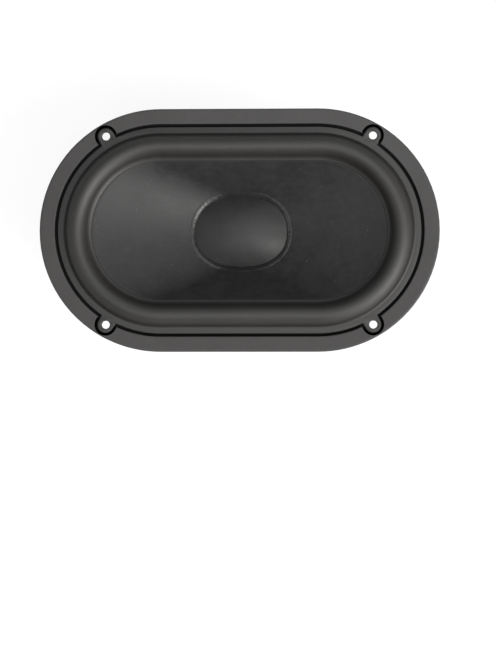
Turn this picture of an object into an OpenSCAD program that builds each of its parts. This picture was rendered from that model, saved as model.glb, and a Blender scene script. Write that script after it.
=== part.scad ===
// Oval (racetrack) car loudspeaker, standing on its motor with the cone facing +Z.
// The origin is the centre of the four mounting holes, on the rear face of the flange.
// +X runs along the long side, towards the terminals. Sizes are in millimetres.

/* [Flange] */
// Overall length of the flange
flange_l = 229; // [220:1:240]
// Overall width of the flange
flange_w = 139; // [134:1:144]
// Thickness of the flange under the trim ring
flange_t = 2.2; // [1.8:0.1:2.6]
// Mounting hole spacing along the length
hole_dx = 153; // [150:1:156]
// Mounting hole spacing across the width
hole_dy = 108; // [105:1:110]
// Mounting hole diameter
hole_d = 4.6; // [4:0.1:5]

/* [Trim ring] */
// Width of the trim ring's band
ring_w = 8.7; // [8:0.1:9]
// Thickness of the trim ring
ring_t = 1.8; // [1.4:0.1:2.2]
// Width of the ring's pocket round each mounting hole
pocket_d = 12; // [11:0.1:12.4]

/* [Surround] */
// Distance from the flange's edge to the surround's outer edge
lip_in = 10.6; // [10:0.1:11]
// Width of the lip's ear round each mounting hole
ear_d = 8.6; // [8:0.1:9]
// Thickness of the surround's rubber
rubber_t = 0.8; // [0.6:0.1:1]
// Width of the half roll
roll_w = 12.8; // [12:0.1:13]
// Height of the half roll above the surround's lip
roll_h = 8; // [6.5:0.1:9]

/* [Cone] */
// Depth from the cone's edge to its neck
cone_h = 25; // [23:0.5:26]
// Thickness of the cone, measured along the axis
cone_t = 0.8; // [0.6:0.1:1]
// Height of the dust cap's dome
cap_h = 7; // [4:0.5:9]

/* [Basket] */
// Thickness of the basket's wall
wall = 1.6; // [1.4:0.1:2]
// Half width of the flat side of the basket's bowl at the flange
bowl_r = 51.6; // [51:0.1:52]
// Depth of the bowl from the flange to its heel
bowl_h = 30.5; // [29.5:0.5:31]
// Curve of the bowl's two ends
bowl_curve = 0.75; // [0.7:0.01:0.8]

/* [Motor] */
// Inner diameter of the voice coil former
coil_id = 35.5; // [35:0.1:36]
// Height of the copper winding
coil_h = 14; // [12:1:18]
// Diameter of the magnet
magnet_d = 90; // [86:1:94]
// Thickness of the magnet
magnet_t = 17; // [15:1:20]
// Diameter of the top plate and of the back plate
plate_d = 80; // [76:1:84]
// Thickness of the top plate
plate_t = 5; // [4:0.5:6]
// Height of the dome on the back plate
dome_h = 8; // [6:0.5:9]

/* [Hidden] */
$fn = 96;
RING_POINTS = 72;                          // points on one ring of a lofted shell
end_x = (flange_l - flange_w) / 2;         // centre of each round end
edge_r = flange_w / 2;                     // round end of the flange
hole_x = hole_dx / 2;
hole_y = hole_dy / 2;
ring_z = flange_t;                         // the trim ring lies on the flange
hole_turn = atan2(hole_y, hole_x - end_x); // from the end's centre to its mounting hole
lip_r = edge_r - lip_in;                   // outer edge of the surround
channel_h = 1;                             // depth of the channel between the lip and the ring
lip_z = flange_t + rubber_t;               // top of the surround's lip
roll_outer_r = edge_r - 14.5;              // outer foot of the half roll
roll_mid_r = roll_outer_r - roll_w / 2;
roll_inner_r = roll_outer_r - roll_w;      // inner foot of the half roll, over the cone's edge
inner_lip_w = 2.6;                         // how far the surround's inner lip laps the cone
cutout_r = 50;                             // round end of the flange's inner edge

former_t = 0.25;
former_r = coil_id / 2 + former_t;
coil_r = former_r + 0.55;                  // outside of the winding
coil_top_z = -38;
coil_low_z = coil_top_z - coil_h;
former_top_z = -20.6;
former_low_z = coil_low_z - 1.5;
vent_d = 3;
vent_z = -34.6;
vents = 8;

cone_edge_z = flange_t + 0.4;              // top of the cone's edge, under the inner lip
cone_neck_z = cone_edge_z - cone_h;
neck_r = former_r + 0.05;
neck_wall = 0.8;
neck_h = 1;
cone_edge_r = roll_inner_r - inner_lip_w;  // where the slope ends and the flat rim starts
cone_rim_r = roll_inner_r - 0.4;           // outside of the flat rim that carries the surround
cone_rise = 0.9;                           // curve of the cone from its neck to its edge
cap_r = 20.6;                              // round end of the dust cap's foot
cap_s = 6.3;                               // centre of each of its round ends
cap_t = 0.5;
bead_w = 2.4;                              // width of the glue bead round the dust cap

spider_z = -26.8;                          // top of the ledge that the spider is glued to
spider_t = 0.6;
spider_r = 44;
spider_wave_r = 39.6;
spider_neck_r = 19.8;                      // where the waves stop, outside the collar
spider_waves = 5;
spider_amp = 1.25;
ledge_r = 40.5;
cup_r = 46;
cup_top_z = -25.5;                         // sill of the side windows
window_top = 46;                           // half width of the side window at the flange
window_low = 30.5;                         // half width of the side window at its sill

plate_z = -42.5;                           // front face of the top plate
magnet_z = plate_z - plate_t;
yoke_z = magnet_z - magnet_t;              // front face of the back plate
rim_t = 2;
rim_z = yoke_z - rim_t;
dome_flat_r = 13;
pole_r = coil_id / 2 - 0.4;
gap_r = coil_r + 0.5;
magnet_bore_r = 23;
pole_top_z = plate_z + 0.5;
bump_r = 24;
bump_h = 5;

foot_r = 36.2;
base_z = plate_z + 2.4;                    // underside of the basket's neck
floor_z = plate_z + 3;                     // inside face of the basket's floor
floor_hole_r = 24;
screw_ring_r = 30;
screw_r = 2;
screw_head_r = 3.6;
screw_head_h = 2.2;
slot_z = -34.2;
slot_w = 40;
slot_h = 5.2;

board_x = [55.5, 65];
board_w = 24;
board_z = -27;
board_t = 1.6;
rivet_x = 57.6;
rivet_top_z = -23;                         // spot face inside the bowl
tab_x = 62.4;
tab_y = 6.5;
tab_t = 0.8;
tab_wide = 6.3;
tab_narrow = 4.8;
tab_low_z = -39.5;
tag_top_z = -24.3;
tag_w = 3;
lead_r = 0.6;
lead_hole_r = 1.3;
lead_z = -25.4;
lead_end = [24.4, 5.2, -21.15];            // where a lead is soldered to the coil's wire
wire_r = 0.25;
wire_angle = 12;
wire_h = 12.9;

// The route of the lead on the +Y side, from its solder tag to the coil's wire.
LEAD = [
    [61.7, 6.5, -25.4], [59.5, 6.5, -25.4], [57, 6.5, -25.4], [54.5, 6.5, -25.3],
    [52.2, 6.5, -24.7], [50.2, 6.5, -23.6], [48.2, 6.5, -22.2], [45.8, 6.4, -20.8],
    [43, 6.3, -19.7], [40, 6.2, -19.1], [37, 6, -19], [34, 5.8, -19.4],
    [31, 5.6, -20.3], [28.8, 5.4, -20.9], [27, 5.3, -21.15], [25.6, 5.2, -21.2]
];

// ---- shapes that repeat ----

module stadium(r, s) {
    translate([s, 0]) circle(r);
    translate([-s, 0]) circle(r);
    square([2 * s, 2 * r], center = true);
}

module stadium_plate(r, z, t) {
    translate([0, 0, z]) linear_extrude(t) stadium(r, end_x);
}

// Sweeps a profile, drawn as [distance from the centre line of an end, height], round the oval.
module oval_sweep() {
    for (side = [1, -1]) {
        translate([side * end_x, 0, 0])
            rotate([0, 0, -side * 90]) rotate_extrude(angle = 180) children();
        rotate([0, 0, 90 - side * 90]) translate([-end_x, 0, 0])
            rotate([90, 0, 90]) linear_extrude(2 * end_x) children();
    }
}

// At each mounting hole, turned so that local +X points out of the oval.
module at_holes() {
    for (x = [-1, 1], y = [-1, 1])
        translate([x * hole_x, y * hole_y, 0])
            rotate([0, 0, x > 0 ? y * hole_turn : 180 - y * hole_turn]) children();
}

// A tab that reaches from the oval's inside to a round end at each mounting hole.
module hole_tabs(width) {
    at_holes() {
        circle(d = width);
        translate([-5, 0]) square([10, width], center = true);
    }
}

// Plan of the ring's inner edge, and of the surround's outer edge inside it.
module ring_inside() {
    stadium(edge_r - ring_w, end_x);
    hole_tabs(pocket_d);
}

module lip_outside() {
    stadium(lip_r, end_x);
    hole_tabs(ear_d);
}

// One ring of an oval loft: end radius r, centres at +-s, height z.
function ring(r, s, z) = [
    for (i = [0 : RING_POINTS - 1])
        let (a = (i + 0.5) * 360 / RING_POINTS)
        [sign(cos(a)) * s + r * cos(a), r * sin(a), z]
];

function loft_faces(rings, n, last) = [
    for (j = [0 : last], i = [0 : n - 1])
        let (a = j * n + i, b = j * n + (i + 1) % n, k = ((j + 1) % rings) * n)
        each [[a, b, k + (i + 1) % n], [a, k + (i + 1) % n, k + i]]
];

// A shell whose profile closes on itself: outer rings from the top down, then inner rings back up.
module loft_shell(rings) {
    n = len(rings[0]);
    polyhedron([for (r = rings) each r], loft_faces(len(rings), n, len(rings) - 1), convexity = 8);
}

// A solid through its rings from the top down, closed by a flat face at each end.
module loft_solid(rings) {
    n = len(rings[0]);
    m = len(rings);
    polyhedron(
        [for (r = rings) each r],
        concat(
            loft_faces(m, n, m - 2),
            [[for (i = [n - 1 : -1 : 0]) i], [for (i = [0 : n - 1]) (m - 1) * n + i]]
        ),
        convexity = 8
    );
}

function unit(v) = v / norm(v);

// A round tube of the given radius along a route of points.
module tube(route, r, sides = 8) {
    last = len(route) - 1;
    rings = [
        for (i = [0 : last])
            let (
                along = unit(route[min(i + 1, last)] - route[max(i - 1, 0)]),
                u = unit(cross(along, [0, 1, 0])),
                v = cross(along, u)
            )
            [
                for (k = [0 : sides - 1])
                    let (a = 360 * k / sides)
                    route[i] + r * (u * cos(a) + v * sin(a))
            ]
    ];
    loft_solid(rings);
}

// ---- basket ----

function bowl_outer(u) = [bowl_r - 6.2 * u, end_x * pow(1 - u, bowl_curve), -bowl_h * u];

BOWL_STEPS = [0.08, 0.2, 0.34, 0.48, 0.62, 0.76, 0.88];

module bowl() {
    heel = [44.6, 5, -29.4];
    outer = [for (u = BOWL_STEPS) let (p = bowl_outer(u)) ring(p[0], p[1], p[2])];
    inner = [for (u = BOWL_STEPS) let (p = bowl_outer(u)) ring(p[0] - wall, p[1], p[2] + wall)];
    loft_shell(concat(
        [ring(bowl_r, end_x, 1), ring(bowl_r, end_x, -0.2)],
        outer,
        [ring(heel[0], heel[1], heel[2]), ring(43.6, 0.1, -30.4), ring(42.4, 0.1, -28)],
        [for (i = [len(inner) - 1 : -1 : 0]) inner[i]],
        [ring(bowl_r - 1.1, end_x, 1)]
    ));
}

module cup_profile() {
    polygon([
        [cup_r, cup_top_z], [45.9, -28.2], [45.3, -28.8], [44.4, -30.4], [43.6, -31.7], [42.1, -33.2],
        [40, -34.6], [39.3, -35.8], [38.7, -37.6], [38.2, -39.4], [37.8, base_z], [foot_r, base_z],
        [foot_r, plate_z], [floor_hole_r, plate_z], [floor_hole_r, floor_z], [34.6, floor_z],
        [36.2, -38.6], [36.8, -36.2], [37.8, -33.8], [39.8, -31.8], [ledge_r, -30.4], [ledge_r, spider_z],
        [cup_r - 1.8, spider_z], [cup_r - 1.8, cup_top_z]
    ]);
}

module side_window() {
    for (side = [0, 180]) rotate([0, 0, side]) translate([0, 62, 0]) rotate([90, 0, 0])
        linear_extrude(30) polygon([
            [-window_top, 0], [-window_top, -6], [-window_top + 0.8, -9], [-window_top + 2.6, -11.6],
            [-window_low, cup_top_z], [window_low, cup_top_z], [window_top - 2.6, -11.6],
            [window_top - 0.8, -9], [window_top, -6], [window_top, 0]
        ]);
}

module neck_slot() {
    end_r = slot_h / 2;
    for (side = [0, 180]) rotate([0, 0, side]) translate([0, 55, slot_z]) rotate([90, 0, 0])
        linear_extrude(30) {
            square([slot_w - slot_h, slot_h], center = true);
            for (x = [-1, 1]) translate([x * (slot_w / 2 - end_r), 0]) circle(end_r);
        }
}

module terminal_pad() {
    translate([0, board_w / 2 - 2, 0]) rotate([90, 0, 0]) linear_extrude(board_w - 4)
        polygon([[54, board_z], [59.6, board_z], [59.6, -24.3], [54, -26.5]]);
}

module basket() {
    color("#2c2b2f") difference() {
        union() {
            difference() {
                stadium_plate(edge_r, 0, flange_t);
                stadium_plate(cutout_r, -1, flange_t + 2);
            }
            bowl();
            rotate_extrude() cup_profile();
            terminal_pad();
        }
        translate([0, 0, flange_t - channel_h]) linear_extrude(2) difference() {
            ring_inside();
            lip_outside();
        }
        at_holes() translate([0, 0, -1]) cylinder(d = hole_d, h = flange_t + 4);
        side_window();
        neck_slot();
        for (a = [45 : 90 : 315]) rotate([0, 0, a]) translate([screw_ring_r, 0, plate_z - 1])
            cylinder(r = screw_r + 0.05, h = 5);
        for (side = [-1, 1]) translate([50, side * tab_y, lead_z]) rotate([0, 90, 0])
            cylinder(r = lead_hole_r, h = 14);
        translate([rivet_x, 0, -30]) cylinder(r = 1.5, h = 8);
        translate([rivet_x, 0, rivet_top_z]) cylinder(r = 2.8, h = 6);
        translate([0, 0, spider_z]) cylinder(r = cup_r - 1.8, h = 3);
    }
}

// ---- what is glued to the front of the flange ----

module trim_ring() {
    color("#4a4848") translate([0, 0, ring_z]) linear_extrude(ring_t) difference() {
        stadium(edge_r, end_x);
        ring_inside();
    }
}

function roll_point(grow, a) = [
    roll_mid_r + (roll_w / 2 + grow) * cos(a),
    flange_t + (roll_h + rubber_t + grow) * sin(a)
];

module surround_profile() {
    polygon(concat(
        [[roll_outer_r + 1.2, flange_t], [roll_outer_r + 1.2, lip_z]],
        [for (a = [6 : 8 : 174]) roll_point(0, a)],
        [
            [roll_inner_r - inner_lip_w, lip_z + rubber_t / 2],
            [roll_inner_r - inner_lip_w, cone_edge_z],
            [roll_inner_r + rubber_t, cone_edge_z]
        ],
        [for (a = [170 : -8 : 10]) roll_point(-rubber_t, a)],
        [[roll_outer_r - rubber_t, flange_t]]
    ));
}

module surround() {
    color("#262626") {
        oval_sweep() surround_profile();
        translate([0, 0, flange_t]) linear_extrude(rubber_t) difference() {
            lip_outside();
            stadium(roll_outer_r + 1, end_x);
            at_holes() circle(d = hole_d + 0.2);
        }
    }
}

// ---- moving assembly ----

// The cone's front face at share t of its slope, 0 at the neck and 1 at the edge.
function cone_r(t) = neck_r + neck_wall / 2 + (cone_edge_r - neck_r - neck_wall / 2) * t;
function cone_z(t) = cone_neck_z + cone_h * pow(t, cone_rise);

// The share of the slope at which the cone passes over a point beyond its straight sides.
function cone_share(x, y) =
    let (
        r = cone_r(0),
        dr = cone_r(1) - r,
        a = end_x * end_x - dr * dr,
        b = 2 * (end_x * x + r * dr),
        c = x * x + y * y - r * r,
        t = (b - sqrt(max(0, b * b - 4 * a * c))) / (2 * a)
    )
    end_x * t < x ? t : (y - r) / dr;

CONE_STEPS = [0.03, 0.08, 0.14, 0.2, 0.28, 0.38, 0.5, 0.62, 0.74, 0.86, 0.95];

module cone() {
    front = [for (t = CONE_STEPS) ring(cone_r(t), end_x * t, cone_z(t))];
    back = [for (t = CONE_STEPS) ring(cone_r(t) + 0.15, end_x * t, cone_z(t) - cone_t)];
    color("#2a2b2d") loft_shell(concat(
        [
            ring(cone_rim_r, end_x, cone_edge_z),
            ring(cone_rim_r, end_x, cone_edge_z - cone_t),
            ring(cone_edge_r + 0.35, end_x, cone_edge_z - cone_t)
        ],
        [for (i = [len(back) - 1 : -1 : 0]) back[i]],
        [
            ring(neck_r + neck_wall, 0.02, cone_neck_z - cone_t),
            ring(neck_r + neck_wall, 0.02, cone_neck_z - cone_t - neck_h),
            ring(neck_r, 0.02, cone_neck_z - cone_t - neck_h),
            ring(neck_r, 0.02, cone_neck_z - 0.2)
        ],
        front,
        [ring(cone_edge_r, end_x, cone_edge_z)]
    ));
}

// One ring of the dust cap or its bead, grown by w from the cap's foot and lifted off the cone.
function cap_foot(w, lift) = [
    for (p = ring(cap_r + w, cap_s, 0)) [p[0], p[1], cone_z(cone_share(abs(p[0]), abs(p[1]))) + lift]
];

function cap_ring(share, w, drop) =
    let (top = cone_z(cone_share(cap_r + cap_s, 0)) + cap_h - drop)
    [for (p = cap_foot(w, 0.1)) [p[0] * share, p[1] * share, top + (p[2] - top) * share * share]];

CAP_STEPS = [0.05, 0.2, 0.35, 0.5, 0.64, 0.77, 0.89, 1];

module dust_cap() {
    color("#2e2e30") loft_solid(concat(
        [for (h = CAP_STEPS) cap_ring(h, 0, 0)],
        [for (i = [len(CAP_STEPS) - 1 : -1 : 0]) cap_ring(CAP_STEPS[i], -cap_t, cap_t)]
    ));
}

// The bead of glue round the foot of the dust cap, on the cone.
module dust_cap_bead() {
    color("#1c1c1c") loft_shell([
        cap_foot(0.15, 0.75),
        cap_foot(0.8, 0.95),
        cap_foot(1.7, 0.75),
        cap_foot(bead_w, 0.08),
        cap_foot(0.15, 0.08)
    ]);
}

module coil_former() {
    tube_h = former_top_z - former_low_z;
    color("#b9a78c") difference() {
        translate([0, 0, former_low_z]) rotate([0, 0, 20]) cylinder(r = former_r, h = tube_h);
        translate([0, 0, former_low_z - 1]) rotate([0, 0, 20]) cylinder(d = coil_id, h = tube_h + 2);
        for (i = [0 : vents - 1]) rotate([0, 0, 90 + i * 360 / vents])
            translate([former_r - 4, 0, vent_z]) rotate([0, 90, 0]) cylinder(d = vent_d, h = 8);
    }
}

module coil_winding() {
    color("#b4602f") difference() {
        translate([0, 0, coil_low_z]) cylinder(r = coil_r, h = coil_h);
        translate([0, 0, coil_low_z - 1]) cylinder(r = former_r, h = coil_h + 2);
    }
}

// The winding's two ends, which run up the former to the leads.
module coil_wires() {
    color("#b4602f") for (side = [-1, 1]) rotate([0, 0, side * wire_angle])
        translate([former_r + wire_r + 0.02, 0, coil_top_z]) {
            cylinder(r = wire_r, h = wire_h);
            translate([0, 0, wire_h]) sphere(wire_r + 0.05);
            translate([0, 0, wire_h]) rotate([0, 59.2, 0]) cylinder(r = wire_r, h = 6.75);
        }
}

spider_turn = 360 * spider_waves / (spider_wave_r - spider_neck_r);

function spider_mid(r) = spider_z + spider_t / 2
    + (r > spider_wave_r ? 0 : spider_amp * sin((spider_wave_r - r) * spider_turn));

module spider_profile() {
    steps = [for (i = [0 : 60]) spider_wave_r - i * (spider_wave_r - spider_neck_r) / 60];
    polygon(concat(
        [[spider_r, spider_z], [spider_r, spider_z + spider_t]],
        [for (r = steps) [r, spider_mid(r) + spider_t / 2]],
        [
            [former_r + 0.7, spider_z + 0.8], [former_r + 0.7, spider_z + 1.2],
            [former_r + 0.02, spider_z + 1.2], [former_r + 0.02, spider_z]
        ],
        [for (i = [60 : -1 : 0]) [steps[i], spider_mid(steps[i]) - spider_t / 2]]
    ));
}

module spider() {
    color("#8a5a3c") difference() {
        rotate_extrude() spider_profile();
        for (side = [-1, 1]) rotate([0, 0, side * wire_angle])
            translate([former_r + 0.3, 0, spider_z - 2]) cylinder(r = wire_r + 0.15, h = 6);
    }
}

// ---- motor ----

module chamfered_ring(r_in, r_out, z, t, c) {
    rotate_extrude() polygon([
        [r_in, z - t], [r_in, z], [r_out - c, z], [r_out, z - c], [r_out, z - t + c], [r_out - c, z - t]
    ]);
}

module top_plate() {
    color("#c9ccd2") difference() {
        chamfered_ring(gap_r, plate_d / 2, plate_z, plate_t, 0.5);
        for (a = [45 : 90 : 315]) rotate([0, 0, a]) translate([screw_ring_r, 0, plate_z - plate_t - 1])
            cylinder(r = screw_r + 0.02, h = plate_t + 2);
    }
}

module magnet() {
    color("#4a4b50") chamfered_ring(magnet_bore_r, magnet_d / 2, magnet_z, magnet_t, 0.9);
}

// The pole and the domed back plate are one forging; a groove round the pole leaves room for the coil.
module pole_yoke() {
    rim_r = plate_d / 2;
    ball_c = (rim_r * rim_r - dome_flat_r * dome_flat_r - dome_h * dome_h) / (2 * dome_h);
    ball_r = sqrt(rim_r * rim_r + ball_c * ball_c);
    color("#aeb6bf") rotate_extrude() polygon(concat(
        [[0, pole_top_z], [pole_r - 0.8, pole_top_z], [pole_r, pole_top_z - 0.8]],
        [[pole_r, yoke_z - bump_h], [bump_r - 2.5, yoke_z - bump_h], [bump_r, yoke_z]],
        [[rim_r - 0.4, yoke_z], [rim_r, yoke_z - 0.4], [rim_r, rim_z]],
        [
            for (i = [1 : 12])
                let (r = rim_r - (rim_r - dome_flat_r) * i / 12)
                [r, rim_z - (sqrt(ball_r * ball_r - r * r) - ball_c)]
        ],
        [[0, rim_z - dome_h]]
    ));
}

module motor_screws() {
    shank_z = magnet_z + 0.6;
    color("#9a9ca0") for (a = [45 : 90 : 315]) rotate([0, 0, a]) translate([screw_ring_r, 0, 0])
        difference() {
            union() {
                translate([0, 0, shank_z]) cylinder(r = screw_r, h = floor_z - shank_z);
                translate([0, 0, floor_z])
                    cylinder(r1 = screw_head_r, r2 = screw_head_r - 0.5, h = screw_head_h);
            }
            for (turn = [0, 90]) rotate([0, 0, turn])
                translate([-2, -0.45, floor_z + screw_head_h - 1.4]) cube([4, 0.9, 2]);
        }
}

// ---- terminals ----

module terminal_board() {
    color("#5a4a32") difference() {
        translate([board_x[0], -board_w / 2, board_z - board_t])
            cube([board_x[1] - board_x[0], board_w, board_t]);
        translate([rivet_x, 0, board_z - 3]) cylinder(r = 1.5, h = 6);
        for (side = [-1, 1]) {
            translate([tab_x - 0.05, side * tab_y - tag_w / 2 - 0.05, board_z - 3])
                cube([tab_t + 0.1, tag_w + 0.1, 6]);
            translate([59.4, side * tab_y, board_z - 3]) cylinder(r = 1, h = 6);
        }
    }
}

// A push-on tab: a base under the board, a solder tag up through it and a blade down.
module tab(width, side) {
    under = board_z - board_t;
    color("#c4c4bc") translate([0, side * tab_y, 0]) difference() {
        union() {
            translate([57.6, -width / 2, under - tab_t]) cube([tab_x + tab_t - 57.6, width, tab_t]);
            translate([tab_x, -tag_w / 2, under - tab_t]) cube([tab_t, tag_w, tag_top_z - under + tab_t]);
            translate([tab_x, 0, 0]) rotate([90, 0, 90]) linear_extrude(tab_t) polygon([
                [-width / 2, under], [-width / 2, tab_low_z + 1.4], [-width / 2 + 1.2, tab_low_z],
                [width / 2 - 1.2, tab_low_z], [width / 2, tab_low_z + 1.4], [width / 2, under]
            ]);
        }
        translate([tab_x - 1, 0, -35.5]) rotate([0, 90, 0]) cylinder(r = 0.8, h = 4);
        translate([59.4, 0, under - 2]) cylinder(r = 1, h = 4);
    }
}

module terminal_tab_wide() tab(tab_wide, 1);
module terminal_tab_narrow() tab(tab_narrow, -1);

module rivet(x, y, r, low, high, head) {
    translate([x, y, low]) cylinder(r = r, h = high - low);
    translate([x, y, low - head]) cylinder(r1 = r + 0.5, r2 = r + 0.9, h = head);
    translate([x, y, high]) cylinder(r1 = r + 0.9, r2 = r + 0.5, h = head);
}

module board_rivet() {
    color("#b8b8b0") rivet(rivet_x, 0, 1.5, board_z - board_t, rivet_top_z, 0.9);
}

module tab_rivets() {
    under = board_z - board_t - tab_t;
    color("#b8b8b0") for (side = [-1, 1]) translate([59.4, side * tab_y, under]) {
        cylinder(r = 1, h = board_t + tab_t - 0.2);
        translate([0, 0, -0.5]) cylinder(r1 = 1.2, r2 = 1.6, h = 0.5);
    }
}

// ---- leads ----

module lead(side) {
    color("#a86a50") tube([for (p = LEAD) [p[0], side * p[1], p[2]]], lead_r);
}

module lead_wide() lead(1);
module lead_narrow() lead(-1);

module tag_solder() {
    color("#b9bcc0") for (side = [-1, 1]) translate([tab_x, side * tab_y, lead_z])
        rotate([0, -90, 0]) cylinder(r1 = 1.1, r2 = 0.75, h = 0.7);
}

module coil_solder() {
    color("#b9bcc0") for (side = [-1, 1])
        translate([lead_end[0], side * lead_end[1], lead_end[2]]) sphere(0.9);
}

// Glue that fixes the spider's edge to the basket, all round its foot.
module glue_fillet() {
    color("#1c1c1c") rotate_extrude() polygon([
        [cup_r - 1.8, spider_z + spider_t], [cup_r - 1.8, spider_z + 1.3], [42.6, spider_z + spider_t]
    ]);
}

basket();
trim_ring();
surround();
cone();
dust_cap();
dust_cap_bead();
coil_former();
coil_winding();
coil_wires();
spider();
top_plate();
magnet();
pole_yoke();
motor_screws();
terminal_board();
terminal_tab_wide();
terminal_tab_narrow();
board_rivet();
tab_rivets();
lead_wide();
lead_narrow();
tag_solder();
coil_solder();
glue_fillet();
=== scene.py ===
import math

import bmesh
import bpy
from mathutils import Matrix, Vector, noise
from mathutils.geometry import tessellate_polygon
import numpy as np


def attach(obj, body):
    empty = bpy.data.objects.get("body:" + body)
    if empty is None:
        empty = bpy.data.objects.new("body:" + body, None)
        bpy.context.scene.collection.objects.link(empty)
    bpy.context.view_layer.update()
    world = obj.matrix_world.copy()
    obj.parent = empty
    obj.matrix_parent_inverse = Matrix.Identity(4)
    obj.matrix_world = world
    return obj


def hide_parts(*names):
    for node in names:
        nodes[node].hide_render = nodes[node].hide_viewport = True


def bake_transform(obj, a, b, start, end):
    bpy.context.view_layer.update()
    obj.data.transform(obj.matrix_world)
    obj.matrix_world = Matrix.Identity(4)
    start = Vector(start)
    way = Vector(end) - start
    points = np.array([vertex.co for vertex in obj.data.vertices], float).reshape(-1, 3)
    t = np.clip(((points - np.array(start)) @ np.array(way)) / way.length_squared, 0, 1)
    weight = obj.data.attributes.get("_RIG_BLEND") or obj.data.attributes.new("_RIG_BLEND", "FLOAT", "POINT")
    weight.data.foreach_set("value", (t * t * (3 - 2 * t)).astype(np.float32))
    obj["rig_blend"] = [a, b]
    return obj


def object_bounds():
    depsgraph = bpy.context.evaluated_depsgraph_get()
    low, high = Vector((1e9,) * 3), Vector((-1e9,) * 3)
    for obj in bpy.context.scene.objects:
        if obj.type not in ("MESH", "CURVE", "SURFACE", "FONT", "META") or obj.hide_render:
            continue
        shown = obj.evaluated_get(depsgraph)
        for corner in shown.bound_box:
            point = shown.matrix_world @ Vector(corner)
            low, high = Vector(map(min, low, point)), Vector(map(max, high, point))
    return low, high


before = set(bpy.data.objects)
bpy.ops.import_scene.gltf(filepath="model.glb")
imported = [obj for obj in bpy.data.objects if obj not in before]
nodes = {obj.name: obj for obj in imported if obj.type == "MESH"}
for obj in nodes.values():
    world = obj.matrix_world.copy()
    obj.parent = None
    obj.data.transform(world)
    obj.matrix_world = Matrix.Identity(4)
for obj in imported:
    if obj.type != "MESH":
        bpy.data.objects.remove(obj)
cad_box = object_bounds()
MM = 0.001

# ---- sizes in millimetres: the CAD part's, but for the roll, lip, ears, cap and bead ----

END_X = 45.0                    # centre of each round end of the oval
EDGE_R = 69.5
FLANGE_T = 2.2
RING_TOP = 4.0
RING_IN_R = 60.8
POCKET_R = 6.0
CHANNEL_Z = 1.2
LIP_R = 59.1                    # outer lip of the surround
LIP_TOP = 3.0
EAR_R = 4.7
EAR_HOLE_R = 2.4
HOLE_R = 2.3
HOLE_X, HOLE_Y = 76.5, 54.0
CUTOUT_R = 50.0
ROLL_R, ROLL_H = 48.2, 8.8      # crown of the half roll, and its height over the flange
ROLL_W_OUT, ROLL_W_IN = 6.8, 6.4  # from the crown to either foot
ROLL_OUT, ROLL_IN = 55.0, 42.2  # its two feet, between which it bends
RUBBER_T = 0.8
LAP_R = 39.6                    # where the inner lip, glued on the cone's rim, ends
LAP_Z = 2.6
CONE_H, CONE_RISE, CONE_T = 25.0, 0.9, 0.8
CONE_RIM_R = 41.8
NECK_R, NECK_LOW_Z = 18.45, -24.2
NECK_IN_R, NECK_OUT_R = 18.05, 18.85
CAP_R, CAP_S, CAP_H, CAP_T = 20.6, 6.3, 7.0, 0.5
CAP_FULL = 2.3                  # fullness of the cap's outline: 2 is an ellipse
BEAD_IN, BEAD_OUT = -0.1, 2.9   # from the cap's foot
BOWL_R, BOWL_H, BOWL_IN, BOWL_CURVE, WALL = 51.6, 30.5, 6.2, 0.75, 1.6
CUP_R, SILL_Z = 46.0, -25.5
LEDGE_Z, LEDGE_R = -26.8, 44.2
WINDOW_TOP, WINDOW_LOW = 46.0, 30.5
SLOT_Z, SLOT_W, SLOT_H = -34.2, 40.0, 5.2
PLATE_Z, PLATE_R = -42.5, 40.0
MAGNET_Z = -47.5
COIL_LOW, COIL_TOP, FORMER_R, COIL_R = -52.0, -38.0, 18.0, 18.55
SPIDER_Z, SPIDER_T, SPIDER_R = -26.8, 0.6, 44.0
SPIDER_FLAT_R, SPIDER_NECK_R, SPIDER_WAVES, SPIDER_AMP = 39.6, 19.8, 5, 1.25
TAB_Y = 6.5                     # the two tabs, tags and leads
RIVET_X = 57.6                  # rivet of the terminal board
MOTOR_SCREW_XY = 21.2           # the four motor screws, each way from the axis
LEAD_Z, LEAD_R, LEAD_HOLE_R = -25.4, 0.6, 1.3

HOLE_TURN = math.atan2(HOLE_Y, HOLE_X - END_X)
HOLE_REACH = math.hypot(HOLE_Y, HOLE_X - END_X)

# ---- camera ----

VIEW_H = 379.192                # height of the picture where the object's front is
AIM_X, AIM_Y = 5.14, -58.25     # middle of the picture there, from the object's centre
CAM_D = 2000.0                  # camera to the object's front
CAM_LEAN = math.radians(3.3)    # seen from slightly to the right
CAM_TILT = math.radians(2.6)    # and slightly below
SENSOR = 36

cam_data = bpy.data.cameras.new("camera")
cam_data.sensor_width = SENSOR
cam_data.lens = SENSOR * CAM_D / VIEW_H
cam_data.shift_x = AIM_X / VIEW_H
cam_data.shift_y = AIM_Y / VIEW_H
cam = bpy.data.objects.new("camera", cam_data)
cam_back = Vector((math.cos(CAM_TILT) * math.sin(CAM_LEAN), -math.sin(CAM_TILT),
                   math.cos(CAM_TILT) * math.cos(CAM_LEAN)))
cam.location = (Vector((0, 0, RING_TOP)) + cam_back * CAM_D) * MM
cam.rotation_euler = (CAM_TILT, CAM_LEAN, 0)
bpy.context.scene.collection.objects.link(cam)
bpy.context.scene.camera = cam


# ---- mesh helpers: points are in millimetres ----

def link(name, mesh):
    obj = bpy.data.objects.new(name, mesh)
    bpy.context.scene.collection.objects.link(obj)
    return obj


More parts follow.
